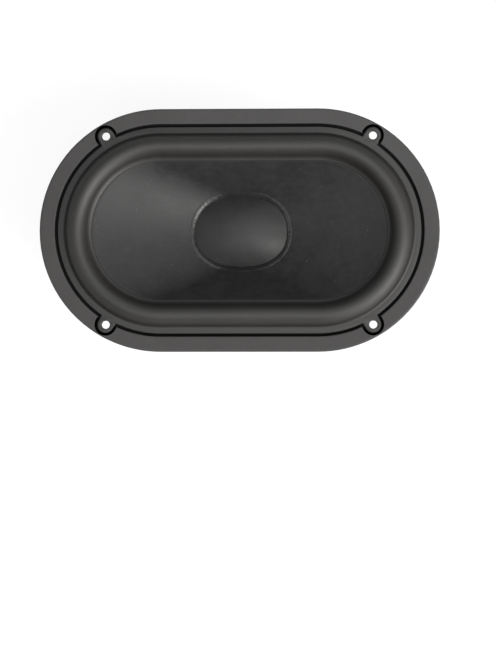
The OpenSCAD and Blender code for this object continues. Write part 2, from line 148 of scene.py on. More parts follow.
class Build:
    """Collects points and faces, and welds them into one smooth mesh."""

    def __init__(self):
        self.verts, self.faces, self.slots = [], [], []

    def add(self, points, faces, slot=0):
        base = len(self.verts)
        self.verts += points
        self.faces += [tuple(base + i for i in f) for f in faces]
        self.slots += [slot] * len(faces)

    def rows(self, rows, loop=False, slot=0):
        """A surface through rings of points; loop joins the last ring to the first."""
        n, m = len(rows[0]), len(rows)
        faces = []
        for j in range(m if loop else m - 1):
            k = (j + 1) % m
            for i in range(n):
                i2 = (i + 1) % n
                faces.append((j * n + i, j * n + i2, k * n + i2, k * n + i))
        self.add([p for row in rows for p in row], faces, slot)

    def sheet(self, *loops, slot=0):
        """A flat face inside the first loop and outside the others."""
        tris = tessellate_polygon([[Vector(p) for p in loop] for loop in loops])
        self.add([p for loop in loops for p in loop], tris, slot)

    def make(self, name, sharp=35):
        """An object of all that was added, its points welded, with edges over sharp degrees kept sharp."""
        mesh = bpy.data.meshes.new(name)
        mesh.from_pydata([tuple(c * MM for c in v) for v in self.verts], [], self.faces)
        mesh.polygons.foreach_set("material_index", self.slots)
        bm = bmesh.new()
        bm.from_mesh(mesh)
        bmesh.ops.remove_doubles(bm, verts=bm.verts, dist=0.002 * MM)
        bmesh.ops.recalc_face_normals(bm, faces=bm.faces)
        bm.to_mesh(mesh)
        bm.free()
        smooth(mesh, sharp)
        return link(name, mesh)


def smooth(mesh, sharp):
    """Smooth shading, but for edges sharper than an angle in degrees."""
    mesh.shade_smooth()
    mesh.set_sharp_from_angle(angle=math.radians(sharp))


def modified(obj):
    """Replaces an object's mesh by what its modifiers make of it."""
    dg = bpy.context.evaluated_depsgraph_get()
    mesh = bpy.data.meshes.new_from_object(obj.evaluated_get(dg))
    obj.modifiers.clear()
    obj.data = mesh


def weld(mesh, reach):
    """Merges points that nearly touch, such as a boolean leaves."""
    bm = bmesh.new()
    bm.from_mesh(mesh)
    bmesh.ops.remove_doubles(bm, verts=bm.verts, dist=reach * MM)
    bm.to_mesh(mesh)
    bm.free()


def combine(obj, operation, others):
    """Joins other objects to an object, or cuts them out of it, and removes them."""
    for other in others:
        mod = obj.modifiers.new("cut", "BOOLEAN")
        mod.operation = operation
        mod.solver = "EXACT"
        mod.object = other
    modified(obj)
    for other in others:
        bpy.data.objects.remove(other)


def bevel(obj, width, segments, angle, clamp=True, harden=False):
    """Rounds the edges that are sharper than an angle in degrees."""
    mod = obj.modifiers.new("edges", "BEVEL")
    mod.width = width * MM
    mod.segments = segments
    mod.limit_method = "ANGLE"
    mod.angle_limit = math.radians(angle)
    mod.use_clamp_overlap = clamp
    mod.harden_normals = harden


def circle(x, y, r, z, n=32):
    turns = [2 * math.pi * i / n for i in range(n)]
    return [(x + r * math.cos(a), y + r * math.sin(a), z) for a in turns]


def oval(r, z, s=END_X, arc=60, line=20):
    """Points round an oval of end radius r with its end centres at +-s; z is a height or a function."""
    pts = []
    for side in (1, -1):
        for i in range(arc):
            a = math.pi * (i / arc - 0.5)
            pts.append((side * (s + r * math.cos(a)), side * r * math.sin(a)))
        for i in range(line):
            pts.append((side * (s - 2 * s * i / line), side * r))
    return [(x, y, z(x, y) if callable(z) else z) for x, y in pts]


def hole_oval(r, ear, z):
    """An oval that reaches out in a U of half width ear round each mounting hole; ear 0 gives a plain oval
    with the same count of points."""
    arc, tip = 26, 14             # points on the middle of a round end, and round an ear
    shoulder = math.asin((ear or POCKET_R) / r)
    turns = [-math.pi / 2, -HOLE_TURN, HOLE_TURN, math.pi / 2]
    end = []
    for k in range(3):
        low = turns[k] + (shoulder if k else 0)
        high = turns[k + 1] - (shoulder if k < 2 else 0)
        n = arc if k == 1 else arc // 3
        end += [(r * math.cos(low + (high - low) * i / n), r * math.sin(low + (high - low) * i / n))
                for i in range(n + (k < 2))]
        if k == 2:
            break
        hole = turns[k + 1]
        for i in range(tip + 1):
            if ear:
                a = hole + math.pi * (i / tip - 0.5)
                end.append((HOLE_REACH * math.cos(hole) + ear * math.cos(a),
                            HOLE_REACH * math.sin(hole) + ear * math.sin(a)))
            else:
                a = hole + shoulder * (2 * (i + 1) / (tip + 2) - 1)
                end.append((r * math.cos(a), r * math.sin(a)))
    pts = []
    for side in (1, -1):
        pts += [(side * (END_X + x), side * y, z) for x, y in end]
        pts.append((side * END_X, side * r, z))
    return pts


def hole_circles(r, z):
    return [circle(x, y, r, z, 28) for x in (-HOLE_X, HOLE_X) for y in (-HOLE_Y, HOLE_Y)]


def lathe(profile, n):
    """A profile of (radius, z) turned round the Z axis, as rings of n points."""
    return [circle(0, 0, r, z, n) for r, z in profile]


def rounded(points, radii, steps=6):
    """A closed outline of (a, b) points with its corners rounded."""
    out = []
    count = len(points)
    for i, (p, radius) in enumerate(zip(points, radii)):
        p, q, s = Vector(p), Vector(points[i - 1]), Vector(points[(i + 1) % count])
        if not radius:
            out.append(tuple(p))
            continue
        u, v = (q - p).normalized(), (s - p).normalized()
        half = math.acos(max(-1, min(1, u.dot(v)))) / 2
        reach = radius / math.tan(half)
        centre = p + (u + v).normalized() * (radius / math.sin(half))
        first, last = p + u * reach - centre, p + v * reach - centre
        for k in range(steps + 1):
            mixed = first.lerp(last, k / steps)
            out.append(tuple(centre + mixed.normalized() * radius))
    return out


def prism(outline, low, high, axis="z"):
    """A closed solid of an outline, from low to high along an axis."""
    def place(a, b, c):
        return {"z": (a, b, c), "y": (a, c, b), "x": (c, a, b)}[axis]
    build = Build()
    ends = [[place(a, b, c) for a, b in outline] for c in (low, high)]
    build.rows(ends)
    for end in ends:
        build.sheet(end)
    return build


def sweep(build, route, radius, sides):
    """A round tube along a route, closed at both ends."""
    rings = []
    last = len(route) - 1
    for i, p in enumerate(route):
        along = (Vector(route[min(i + 1, last)]) - Vector(route[max(i - 1, 0)])).normalized()
        u = along.cross(Vector((0, 1, 0)) if abs(along.y) < 0.9 else Vector((1, 0, 0))).normalized()
        v = along.cross(u)
        rings.append([tuple(Vector(p) + radius * (u * math.cos(a) + v * math.sin(a)))
                      for a in (2 * math.pi * k / sides for k in range(sides))])
    build.rows(rings)
    build.add(rings[0], [tuple(range(sides))])
    build.add(rings[-1], [tuple(range(sides))])


def smooth_route(points, steps):
    """A Catmull-Rom curve through a few points."""
    pts = [Vector(p) for p in points]
    pts = [2 * pts[0] - pts[1], *pts, 2 * pts[-1] - pts[-2]]
    out = []
    for a, b, c, d in zip(pts, pts[1:], pts[2:], pts[3:]):
        for k in range(steps):
            t = k / steps
            out.append(0.5 * (2 * b + (c - a) * t + (2 * a - 5 * b + 4 * c - d) * t ** 2
                              + (3 * b - a - 3 * c + d) * t ** 3))
    out.append(pts[-2])
    return out


def bend_weights(obj, share):
    """Sets how far each point of a blended piece goes with the frame: 0 moves, 1 stays; share takes mm."""
    attribute = obj.data.attributes["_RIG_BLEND"]
    attribute.data.foreach_set("value", [share(*(v.co / MM)) for v in obj.data.vertices])


def ease(t):
    """A soft step from 0 to 1."""
    t = max(0.0, min(1.0, t))
    return t * t * (3 - 2 * t)


# ---- material helpers ----

class Paint:
    """A procedural material: a principled shader and small functions that add nodes to it."""

    def __init__(self, name):
        self.mat = bpy.data.materials.new(name)
        self.mat.use_nodes = True
        self.tree = self.mat.node_tree
        self.shader = self.tree.nodes["Principled BSDF"]
        self.place = self.node("ShaderNodeTexCoord").outputs["Object"]

    def node(self, kind, inputs=(), **settings):
        n = self.tree.nodes.new(kind)
        for key, value in settings.items():
            setattr(n, key, value)
        for key, value in dict(inputs).items():
            self.put(n.inputs[key], value)
        return n

    def put(self, socket, value):
        if isinstance(value, bpy.types.NodeSocket):
            self.tree.links.new(value, socket)
        else:
            socket.default_value = value

    def scaled(self, x, y, z):
        return self.node("ShaderNodeMapping", {"Vector": self.place, "Scale": (x, y, z)}).outputs["Vector"]

    def round_place(self, radius):
        """Coordinates that run round the Z axis, out from it and along it, in metres."""
        split = self.node("ShaderNodeSeparateXYZ", {"Vector": self.place}).outputs
        turn = self.math("MULTIPLY", self.math("ARCTAN2", split["Y"], split["X"]), radius)
        out = self.math("SQRT", self.math("ADD", self.math("MULTIPLY", split["X"], split["X"]),
                                          self.math("MULTIPLY", split["Y"], split["Y"])))
        return turn, out, split["Z"]

    def merged(self, x, y, z):
        return self.node("ShaderNodeCombineXYZ", {"X": x, "Y": y, "Z": z}).outputs["Vector"]

    def noise(self, grain, detail=4.0, rough=0.55, vector=None, stretch=(1, 1, 1)):
        """Noise with features about grain millimetres wide."""
        if vector is None:
            vector = self.place if stretch == (1, 1, 1) else self.scaled(*stretch)
        return self.node("ShaderNodeTexNoise", {
            "Vector": vector, "Scale": 1 / (grain * MM), "Detail": detail, "Roughness": rough
        }).outputs["Fac"]

    def cells(self, size):
        """Distance from the middle of the nearest of many cells, about size millimetres wide."""
        return self.node("ShaderNodeTexVoronoi",
                         {"Vector": self.place, "Scale": 1 / (size * MM)}).outputs["Distance"]

    def math(self, operation, a, b=0.0, c=0.0):
        return self.node("ShaderNodeMath", {0: a, 1: b, 2: c}, operation=operation).outputs[0]

    def ramp(self, value, *stops):
        """A value turned into a colour, or a grey, by stops of (place, colour)."""
        n = self.node("ShaderNodeValToRGB", {"Fac": value})
        elements = n.color_ramp.elements
        while len(elements) < len(stops):
            elements.new(0.5)
        for element, (place, colour) in zip(elements, stops):
            element.position = place
            colour = (colour,) * 3 if isinstance(colour, (int, float)) else colour
            element.color = (*colour, 1)
        return n.outputs["Color"]

    def mix(self, share, a, b):
        """Two colours mixed: share 0 gives the first, 1 the second."""
        def full(v):
            return v if isinstance(v, bpy.types.NodeSocket) else (*v, 1)
        n = self.node("ShaderNodeMix", data_type="RGBA")
        self.put(n.inputs["Factor"], share)
        self.put(n.inputs[6], full(a))
        self.put(n.inputs[7], full(b))
        return n.outputs[2]

    def bump(self, height, depth, strength=1.0, below=None):
        """Surface relief of a depth in millimetres."""
        n = self.node("ShaderNodeBump", {"Height": height, "Distance": depth * MM, "Strength": strength})
        if below is not None:
            self.put(n.inputs["Normal"], below)
        return n.outputs["Normal"]

    def finish(self, **values):
        """Sets the shader's inputs, named with _ for a space, and gives the material."""
        for key, value in values.items():
            socket = self.shader.inputs[key.replace("_", " ")]
            if isinstance(value, tuple) and len(value) == 3 and socket.type == "RGBA":
                value = (*value, 1)
            self.put(socket, value)
        return self.mat


def satin(name, dark, light, rough, grain, depth, blotch, dust=0.0, specular=0.5, scuff=0.0):
    """Dark moulded plastic, rubber or card: mottled, finely grained, here and there dusty or scuffed."""
    p = Paint(name)
    mottle = p.noise(blotch, 5, 0.6)
    fine = p.noise(grain, 3)
    mid = p.noise(grain * 6, 4, 0.6)
    tone = p.math("ADD", p.math("MULTIPLY", mottle, 0.5),
                  p.math("ADD", p.math("MULTIPLY", mid, 0.3), p.math("MULTIPLY", fine, 0.2)))
    colour = p.ramp(tone, (0.36, dark), (0.64, light))
    if dust:
        spots = p.ramp(p.cells(4.5), (0.0, 1.0), (0.045, 0.55), (0.075, 0.0))
        keep = p.ramp(p.noise(9, 2), (0.52, 0.0), (0.6, 1.0))
        dusty = p.math("MULTIPLY", p.math("MULTIPLY", spots, keep), dust)
        colour = p.mix(dusty, colour, (0.32, 0.3, 0.29))
    if scuff:
        line = p.noise(2.2, 3, 0.5, stretch=(0.12, 1, 1))
        marks = p.ramp(line, (0.66, 0.0), (0.71, 1.0), (0.74, 0.0))
        colour = p.mix(p.math("MULTIPLY", marks, scuff), colour, (0.2, 0.2, 0.2))
    rougher = p.ramp(tone, (0.35, rough[0]), (0.65, rough[1]))
    relief = p.bump(fine, depth, 0.6, p.bump(mid, depth * 2.2, 0.45))
    return p.finish(Base_Color=colour, Roughness=rougher, Normal=relief, Specular_IOR_Level=specular)


def plated(name, dark, light, rough, turned=0.0, cloud=8, stain=None):
    """Plated or bright metal, with cloudy patches; turned is the depth of fine lathe marks in mm."""
    p = Paint(name)
    patch = p.noise(cloud, 6, 0.62)
    colour = p.ramp(patch, (0.3, dark), (0.7, light))
    rougher = p.ramp(patch, (0.3, rough[1]), (0.7, rough[0]))
    if stain:
        spots = p.ramp(p.noise(cloud * 0.35, 4, 0.7), (0.6, 0.0), (0.7, 0.7))
        colour = p.mix(spots, colour, stain)
    fine = p.noise(0.3, 3)
    relief = p.bump(fine, 0.006, 0.5)
    if turned:
        turn, out, high = p.round_place(0.04)
        lines = p.noise(0.35, 2, 0.6, vector=p.merged(p.math("MULTIPLY", turn, 0.02), out, high))
        relief = p.bump(lines, turned, 0.8, relief)
    return p.finish(Base_Color=colour, Roughness=rougher, Metallic=1.0, Normal=relief)


def ferrite_paint():
    """Ground ferrite: fine grinding lines, pits, pale smears and scratches."""
    p = Paint("ferrite")
    turn, out, high = p.round_place(0.045)
    ground = p.noise(0.5, 3, 0.6, vector=p.merged(p.math("MULTIPLY", turn, 0.06), out, high))
    patch = p.noise(16, 5, 0.6)
    tone = p.math("ADD", p.math("MULTIPLY", patch, 0.6), p.math("MULTIPLY", ground, 0.4))
    colour = p.ramp(tone, (0.34, (0.015, 0.0147, 0.0168)), (0.66, (0.034, 0.0335, 0.0375)))
    smear = p.ramp(p.noise(5, 6, 0.72, stretch=(1, 1, 2.2)), (0.62, 0.0), (0.72, 0.5))
    colour = p.mix(smear, colour, (0.26, 0.26, 0.27))
    line = p.noise(3.2, 3, 0.5, stretch=(0.2, 0.2, 1.4))
    scratches = p.ramp(line, (0.69, 0.0), (0.705, 0.8), (0.72, 0.0))
    colour = p.mix(scratches, colour, (0.4, 0.4, 0.41))
    pits = p.ramp(p.cells(0.9), (0.05, 0.0), (0.16, 1.0))
    relief = p.bump(ground, 0.03, 0.6, p.bump(pits, 0.05, 0.5))
    return p.finish(Base_Color=colour, Roughness=p.ramp(tone, (0.35, 0.3), (0.65, 0.42)), Normal=relief,
                    Specular_IOR_Level=0.7)


def spider_paint():
    """Resin-stiffened woven cloth: threads cross over and under; the colour is lighter on the weave's crests
    and darker in its hollows, a painted highlight and painted shade.
    """
    p = Paint("spider_cloth")
    split = p.node("ShaderNodeSeparateXYZ", {"Vector": p.place}).outputs
    pitch = 2 * math.pi / (0.75 * MM)
    warp = p.math("SINE", p.math("MULTIPLY", split["X"], pitch))
    weft = p.math("SINE", p.math("MULTIPLY", split["Y"], pitch))
    weave = p.math("MULTIPLY", warp, weft)
    threads = p.math("ADD", p.math("MULTIPLY", weave, 0.5), 0.5)
    patch = p.noise(6, 4, 0.6)
    # colour lighter where the threads rise and darker where they sink: painted highlight on the crests,
    # painted shade in the hollows, mixed with random patches
    tone = p.math("ADD", p.math("MULTIPLY", threads, 0.45), p.math("MULTIPLY", patch, 0.55))
    colour = p.ramp(tone, (0.3, (0.2, 0.075, 0.04)), (0.55, (0.4, 0.18, 0.1)), (0.8, (0.62, 0.36, 0.23)))
    return p.finish(Base_Color=colour, Roughness=p.ramp(patch, (0.35, 0.42), (0.65, 0.6)),
                    Normal=p.bump(threads, 0.12, 0.8), Sheen_Weight=0.2, Sheen_Roughness=0.5)


def former_paint():
    """Varnished film: beige, made paler than the film's own colour as painted light, with browner smears
    where the varnish is thick.
    """
    p = Paint("former_film")
    patch = p.noise(5, 5, 0.6, stretch=(1, 1, 0.4))
    fine = p.noise(0.4, 3)
    # the pale end of this ramp is painted light, for light that hardly reaches the former inside the slot
    colour = p.ramp(patch, (0.32, (0.5, 0.33, 0.18)), (0.5, (0.74, 0.58, 0.4)), (0.7, (0.85, 0.72, 0.55)))
    return p.finish(Base_Color=colour, Roughness=p.ramp(patch, (0.3, 0.22), (0.7, 0.4)),
                    Normal=p.bump(fine, 0.02, 0.5), Coat_Weight=0.3, Coat_Roughness=0.15)


def board_paint():
    """Brown paper laminate with fibres along X."""
    p = Paint("board_laminate")
    fibre = p.noise(1.2, 5, 0.65, stretch=(0.25, 1, 1))
    colour = p.ramp(fibre, (0.3, (0.085, 0.045, 0.02)), (0.7, (0.2, 0.12, 0.06)))
    return p.finish(Base_Color=colour, Roughness=p.ramp(fibre, (0.3, 0.4), (0.7, 0.6)),
                    Normal=p.bump(fibre, 0.04, 0.6))


def braid_paint():
    """Copper tinsel wound on thread: bright copper, dulled between the windings."""
    p = Paint("lead_braid")
    wrap = p.noise(0.25, 3)
    patch = p.noise(3, 4)
    tone = p.math("ADD", p.math("MULTIPLY", wrap, 0.6), p.math("MULTIPLY", patch, 0.4))
    colour = p.ramp(tone, (0.34, (0.32, 0.13, 0.07)), (0.66, (0.8, 0.45, 0.3)))
    return p.finish(Base_Color=colour, Roughness=p.ramp(tone, (0.35, 0.45), (0.65, 0.28)), Metallic=0.9,
                    Normal=p.bump(wrap, 0.04, 0.8))


# keyed by plain name, as Blender renumbers a material whose name the loaded frame already uses
PAINTS = {
    "basket_plastic": satin("basket_plastic", (0.0066, 0.0062, 0.0092), (0.011, 0.0102, 0.015),
                            (0.44, 0.54), 0.4, 0.02, 18, specular=0.3),
    "ring_plastic": satin("ring_plastic", (0.04, 0.0378, 0.0368), (0.054, 0.0512, 0.0504),
                          (0.42, 0.5), 0.3, 0.012, 22),
    "surround_rubber": satin("surround_rubber", (0.0155, 0.0145, 0.0133), (0.0225, 0.0211, 0.0195),
                             (0.53, 0.59), 0.25, 0.01, 26, dust=0.25, specular=0.8),
    "cone_sheet": satin("cone_sheet", (0.0185, 0.0182, 0.0183), (0.031, 0.0302, 0.0302),
                        (0.46, 0.58), 0.5, 0.045, 12, dust=0.7, scuff=0.05, specular=0.42),
    "cap_sheet": satin("cap_sheet", (0.023, 0.0225, 0.0225), (0.034, 0.033, 0.0325),
                       (0.5, 0.6), 0.5, 0.03, 10, dust=0.4),
    "black_glue": satin("black_glue", (0.02, 0.0198, 0.0196), (0.03, 0.0296, 0.0292),
                        (0.24, 0.34), 0.8, 0.03, 6),
    # near black, darker than the basket: painted shade on the channel's walls and floor, the groove between
    # the ring and the surround's lip
    "channel_shade": satin("channel_shade", (0.003, 0.003, 0.003), (0.006, 0.006, 0.006),
                          (0.7, 0.8), 0.5, 0.02, 8, specular=0.15),
    "clear_glue": satin("clear_glue", (0.5, 0.5, 0.5), (0.78, 0.78, 0.77), (0.2, 0.4), 0.6, 0.04, 5),
    "former_film": former_paint(),
    "copper_wire": plated("copper_wire", (0.6, 0.2, 0.08), (0.86, 0.38, 0.18), (0.22, 0.36), cloud=4),
    "spider_cloth": spider_paint(),
    "zinc_plate": plated("zinc_plate", (0.8, 0.81, 0.82), (0.93, 0.94, 0.95), (0.26, 0.36), 0.008, 7,
                         stain=(0.62, 0.64, 0.66)),
    "ferrite": ferrite_paint(),
    "zinc_yoke": plated("zinc_yoke", (0.25, 0.285, 0.32), (0.36, 0.4, 0.44), (0.24, 0.36), 0.008, 14),
    "screw_steel": plated("screw_steel", (0.5, 0.5, 0.52), (0.7, 0.7, 0.71), (0.25, 0.4), 0.006, 3),
    "board_laminate": board_paint(),
    "tinned_tab": plated("tinned_tab", (0.62, 0.6, 0.55), (0.84, 0.82, 0.78), (0.18, 0.34), cloud=3),
    "rivet_metal": plated("rivet_metal", (0.45, 0.46, 0.47), (0.75, 0.75, 0.76), (0.25, 0.4), cloud=2),
    "solder": plated("solder", (0.52, 0.53, 0.55), (0.82, 0.82, 0.82), (0.15, 0.4), cloud=1.2),
    "lead_braid": braid_paint(),
}


def dress(obj, *paints):
    """Gives an object its materials, one for each slot."""
    if obj.data.materials:
        obj.data.materials.clear()
    for paint in paints:
        obj.data.materials.append(PAINTS[paint])


# ---- basket ----

BOWL_ARC, BOWL_LINE = 76, 12    # points on each round end and each straight of a ring of the bowl


def bowl_ring(u, inner=False):
    """One ring of the bowl: u runs from the flange, 0, to the heel, 1."""
    r = BOWL_R - BOWL_IN * u - (WALL if inner else 0)
    s = END_X * (1 - u) ** BOWL_CURVE
    z = -BOWL_H * u + (WALL if inner else 0)
    return oval(r, z, s, BOWL_ARC, BOWL_LINE)


def bowl_side(x, z):
    """Distance of the bowl's outer face from the XZ plane at a point of its flank."""
    u = max(0.0, min(0.999, -z / BOWL_H))
    r, s = BOWL_R - BOWL_IN * u, END_X * (1 - u) ** BOWL_CURVE
    return math.sqrt(r * r - max(0.0, abs(x) - s) ** 2)


def grown(outline, by):
    """An anticlockwise outline moved outwards by a distance."""
    out = []
    for i, p in enumerate(outline):
        a, b = Vector(outline[i - 1]), Vector(outline[(i + 1) % len(outline)])
        along = (b - a).normalized()
        out.append((p[0] + along.y * by, p[1] - along.x * by))
    return out


def drill(name, a, b, r, low, high, axis="z"):
    """A round cutter from low to high along an axis, at (a, b) across it."""
    return prism([p[:2] for p in circle(a, b, r, 0)], low, high, axis).make(name)


def window_cutter(outline, side):
    """Cuts a side window, with a wide chamfer along the outer edge of its two flanks."""
    width, depth = 2.2, 1.35      # of the chamfer
    out, into = 62, 32            # ends of the cutter, outside and inside the bowl
    wide = [(x, min(max(z, SILL_Z), 0)) for x, z in grown(outline, width)]
    cutter = Build()
    loops = [
        [(x, side * out, z) for x, z in wide],
        [(x, side * (bowl_side(x, z) + 0.4), z) for x, z in wide],
        [(x, side * (bowl_side(x, z) - depth), z) for x, z in outline],
        [(x, side * into, z) for x, z in outline]
    ]
    cutter.rows(loops)
    cutter.sheet(loops[0])
    cutter.sheet(loops[-1])
    return cutter.make("window")


def make_flange():
    """The flange, with the channel round the surround's lip and the four mounting holes."""
    flange = Build()
    round_edge = 0.35
    channel_in, channel_out = (LIP_R, EAR_R), (RING_IN_R, POCKET_R)
    flange.rows([hole_oval(EDGE_R, 0, z) for z in (round_edge, FLANGE_T)])
    flange.rows([hole_oval(EDGE_R, 0, round_edge), hole_oval(EDGE_R - 0.1, 0, 0.1),
                 hole_oval(EDGE_R - round_edge, 0, 0)])
    flange.sheet(hole_oval(EDGE_R, 0, FLANGE_T), hole_oval(*channel_out, FLANGE_T))
    # the channel's walls and floor take slot 1, painted near black as painted shade in the groove
    flange.rows([hole_oval(*channel_out, z) for z in (FLANGE_T, CHANNEL_Z)], slot=1)
    flange.sheet(hole_oval(*channel_out, CHANNEL_Z), hole_oval(*channel_in, CHANNEL_Z), slot=1)
    flange.rows([hole_oval(*channel_in, z) for z in (CHANNEL_Z, FLANGE_T)], slot=1)
    flange.sheet(hole_oval(*channel_in, FLANGE_T), oval(CUTOUT_R, FLANGE_T, line=1),
                 *hole_circles(HOLE_R, FLANGE_T))
    flange.rows([oval(CUTOUT_R, z, line=1) for z in (FLANGE_T, 0)])
    for top, low in zip(hole_circles(HOLE_R, FLANGE_T), hole_circles(HOLE_R, 0)):
        flange.rows([top, low])
    flange.sheet(hole_oval(EDGE_R - round_edge, 0, 0), oval(CUTOUT_R, 0, line=1),
                 *hole_circles(HOLE_R, 0))
    return flange.make("basket_body")


def make_bowl():
    """The bowl's wall, from inside the flange down to the heel that meets the neck."""
    bowl = Build()
    steps = [0.02 + 0.9 * k / 26 for k in range(27)]
    outer = [bowl_ring(u) for u in steps]
    inner = [bowl_ring(u, True) for u in reversed(steps)]
    heel = [oval(r, z, s, BOWL_ARC, BOWL_LINE)
            for r, z, s in ((44.6, -29.4, 5), (43.6, -30.4, 0.1), (42.4, -28, 0.1))]
    top_out, top_in = [oval(r, 1, END_X, BOWL_ARC, BOWL_LINE) for r in (BOWL_R, BOWL_R - 1.1)]
    bowl.rows([top_out, *outer, *heel, *inner, top_in], loop=True)
    return bowl.make("bowl")


def make_cup():
    """The stepped neck that holds the spider and sits on the top plate."""
    cup = Build()
    cup.rows(lathe([
        (CUP_R, SILL_Z), (45.9, -28.2), (45.3, -28.8), (44.4, -30.4), (43.6, -31.7), (42.1, -33.2),
        (40, -34.6), (39.3, -35.8), (38.7, -37.6), (38.2, -39.4), (37.8, -40.1), (36.2, -40.1),
        (36.2, PLATE_Z), (24, PLATE_Z), (24, -39.5), (34.6, -39.5), (36.2, -38.6), (36.8, -36.2),
        (37.8, -33.8), (39.8, -31.8), (40.5, -30.4), (40.5, LEDGE_Z), (LEDGE_R, LEDGE_Z),
        (LEDGE_R, SILL_Z)
    ], 144), loop=True)
    return cup.make("cup")


def basket_cutters():
    """Windows, cooling slots, and holes for the screws, the leads and the board's rivet."""
    bend_z = -8.8                 # where the window's upright ends turn in
    window = rounded([
        (-WINDOW_TOP, 0), (-WINDOW_TOP, bend_z), (-WINDOW_LOW, SILL_Z),
        (WINDOW_LOW, SILL_Z), (WINDOW_TOP, bend_z), (WINDOW_TOP, 0)
    ], (0, 8, 1, 1, 8, 0), 8)
    slot = rounded([
        (-SLOT_W / 2, SLOT_Z - SLOT_H / 2), (SLOT_W / 2, SLOT_Z - SLOT_H / 2),
        (SLOT_W / 2, SLOT_Z + SLOT_H / 2), (-SLOT_W / 2, SLOT_Z + SLOT_H / 2)
    ], (SLOT_H / 2 - 0.01,) * 4, 8)
    cutters = []
    for side in (-1, 1):
        cutters.append(window_cutter(window, side))
        cutters.append(prism(slot, side * 25, side * 50, "y").make("slot"))
    for x in (-MOTOR_SCREW_XY, MOTOR_SCREW_XY):
        for y in (-MOTOR_SCREW_XY, MOTOR_SCREW_XY):
            cutters.append(drill("screw_hole", x, y, 2.05, -44, -37.5))
    for y in (-TAB_Y, TAB_Y):
        cutters.append(drill("lead_hole", y, LEAD_Z, LEAD_HOLE_R, 50, 64, "x"))
    cutters.append(drill("rivet_hole", RIVET_X, 0, 1.5, -30, -22))
    cutters.append(drill("rivet_seat", RIVET_X, 0, 2.8, -23, -17))
    return cutters


def make_basket():
    """The whole basket in one mesh, its edges rounded."""
    basket = make_flange()
    pad = rounded([(54, -27), (59.6, -27), (59.6, -24.3), (54, -26.5)], (0, 0.5, 0.5, 0))
    parts = [make_bowl(), make_cup(), prism(pad, -10, 10, "y").make("terminal_pad")]
    cutters = basket_cutters()
    for part in (basket, *parts, *cutters):
        dress(part, "basket_plastic", "channel_shade")
    combine(basket, "UNION", parts)
    combine(basket, "DIFFERENCE", cutters)
    basket.name = "basket_frame"
    weld(basket.data, 0.01)
    bevel(basket, 0.3, 2, 40, clamp=False)
    modified(basket)
    weld(basket.data, 0.001)
    smooth(basket.data, 30)
    return basket


# ---- the front: ring, surround, cone, cap and its glue ----

def make_trim_ring():
    """The ring on the flange, rounded along both edges, with a pocket round each ear."""
    ring = Build()
    edge, inner = 0.7, 0.3        # rounding of the outer and the inner edge
    turns = [math.radians(a) for a in (0, 22, 45, 68, 90)]
    outside = [hole_oval(EDGE_R - edge * (1 - math.cos(a)), 0, RING_TOP - edge * (1 - math.sin(a)))
               for a in turns]
    inside = [hole_oval(RING_IN_R + inner * (1 - math.cos(a)), POCKET_R + inner * (1 - math.cos(a)),
                        RING_TOP - inner * (1 - math.sin(a))) for a in reversed(turns)]
    ring.rows([
        hole_oval(EDGE_R, 0, FLANGE_T), *outside, hole_oval(EDGE_R - 1.6, 0, RING_TOP),
        hole_oval(RING_IN_R + 1.2, POCKET_R - 0.6, RING_TOP), *inside,
        hole_oval(RING_IN_R, POCKET_R, FLANGE_T)
    ], loop=True)
    return ring.make("trim_ring_moulded")


def roll_point(turn, inset=0.0):
    """A point (radius, z) on the half roll: turn 0 is at its outer foot, inset goes into the rubber."""
    across = ROLL_W_OUT if math.cos(turn) > 0 else ROLL_W_IN
    return ROLL_R + (across - inset) * math.cos(turn), FLANGE_T + (ROLL_H - inset) * math.sin(turn)


def make_surround():
    """The rubber surround: flat outer lip with four ears, half roll, and inner lip."""
    surround = Build()
    foot_r = 56.4                 # where the flat lip starts to turn up into the roll
    over = [roll_point(math.radians(a)) for a in range(21, 157, 3)]
    under = [roll_point(math.radians(a), RUBBER_T) for a in range(171, 2, -4)]
    profile = [
        (foot_r, LIP_TOP), (foot_r - 0.4, LIP_TOP + 0.03), (foot_r - 0.78, LIP_TOP + 0.14),
        (foot_r - 1.11, LIP_TOP + 0.35), (foot_r - 1.38, LIP_TOP + 0.68), (foot_r - 1.58, LIP_TOP + 1.12),
        (foot_r - 1.72, LIP_TOP + 1.65), *over,
        (42.1, 5.3), (41.86, 4.9), (41.55, 4.5), (41.2, 4.14), (40.85, 3.85), (40.55, 3.66), (40.3, 3.53),
        (40.05, 3.4), (39.85, 3.26), (LAP_R + 0.12, 3.08), (LAP_R + 0.03, 2.9),
        (LAP_R, 2.68), (LAP_R, LAP_Z), (41.3, LAP_Z), (42.4, LAP_Z + 0.05), *under,
        (ROLL_OUT - 0.7, FLANGE_T), (foot_r, FLANGE_T)
    ]
    surround.rows([oval(r, z) for r, z in profile])
    edge = 0.25
    surround.sheet(hole_oval(LIP_R - edge, EAR_R - edge, LIP_TOP), oval(foot_r, LIP_TOP),
                   *hole_circles(EAR_HOLE_R + edge, LIP_TOP))
    surround.sheet(hole_oval(LIP_R, EAR_R, FLANGE_T), oval(foot_r, FLANGE_T),
                   *hole_circles(EAR_HOLE_R, FLANGE_T))
    drops = [(edge, 0), (edge * 0.4, edge * 0.25), (0, edge), (0, LIP_TOP - FLANGE_T)]
    surround.rows([hole_oval(LIP_R - a, EAR_R - a, LIP_TOP - b) for a, b in drops])
    for k in range(4):
        surround.rows([hole_circles(EAR_HOLE_R + a, LIP_TOP - b)[k] for a, b in drops])
    return surround.make("surround_roll", 40)


